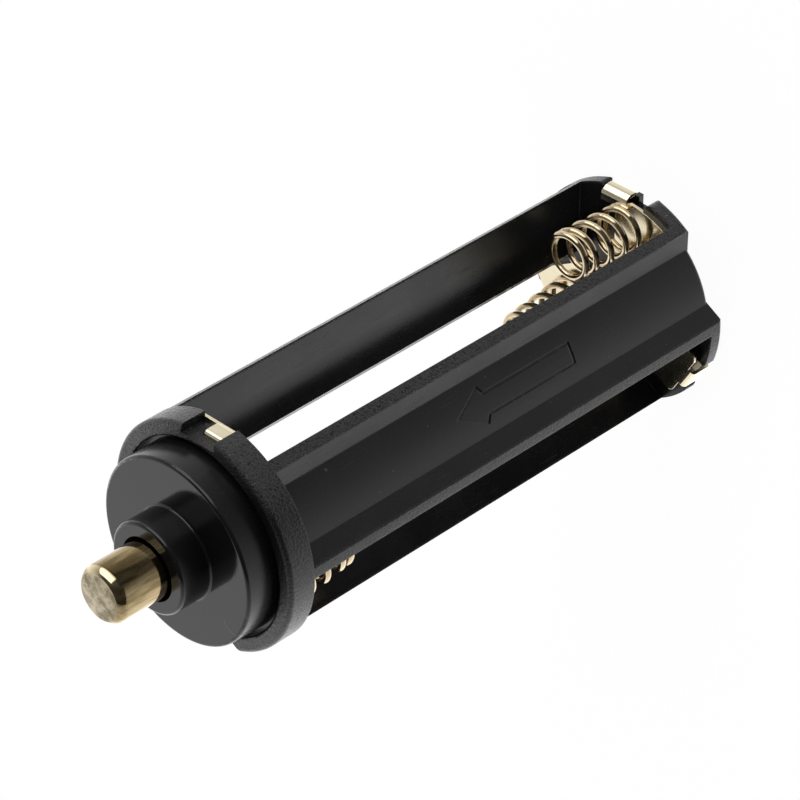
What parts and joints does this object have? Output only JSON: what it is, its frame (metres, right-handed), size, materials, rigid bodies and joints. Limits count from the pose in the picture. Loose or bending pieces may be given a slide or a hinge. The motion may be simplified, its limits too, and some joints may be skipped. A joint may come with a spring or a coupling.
{
  "type": "cylindrical cell holder",
  "caption": "Round slotted cage that carries slim cells side by side and wires them in series to a sprung brass contact pin at its nose.",
  "frame": {"origin": "centre of the rear face, on the cage's axis", "axes": "+Z along the cage's axis, towards the contact pin; -Y through the middle of the rib with the arrow; one bay opens towards +Y"},
  "size_m": [0.0215, 0.0213, 0.0649],
  "materials": {
    "cage_plastic": "black moulded plastic, fine spark texture outside, smoother inside the bays",
    "cap_plastic": "black moulded plastic with a soft gloss",
    "pin_brass": "drawn and tumbled, a little tarnished, with scratches along the pin",
    "spring_wire": "nickel-plated spring wire with a warm tint",
    "strip_metal": "nickel-plated strip with a pale gold tint"
  },
  "bodies": {
    "holder": {"cage": "cage_plastic", "nose_cap": "cap_plastic", "pin_spring": "spring_wire", "pin_strip": "strip_metal", "front_link_strip": "strip_metal", "rear_link_strip": "strip_metal", "tail_strip": "strip_metal", "spring_a": "spring_wire", "spring_b": "spring_wire", "spring_c": "spring_wire"},
    "pin": {"contact_pin": "pin_brass"}
  },
  "joints": [
    {"name": "pin_press", "type": "slide", "parent": "holder", "child": "pin", "axis": [0, 0, 1], "range_m": [-0.0015, 0], "stiffness_N_per_m": 400, "springref_m": 0.002, "deforming": ["pin_spring"]}
  ]
}
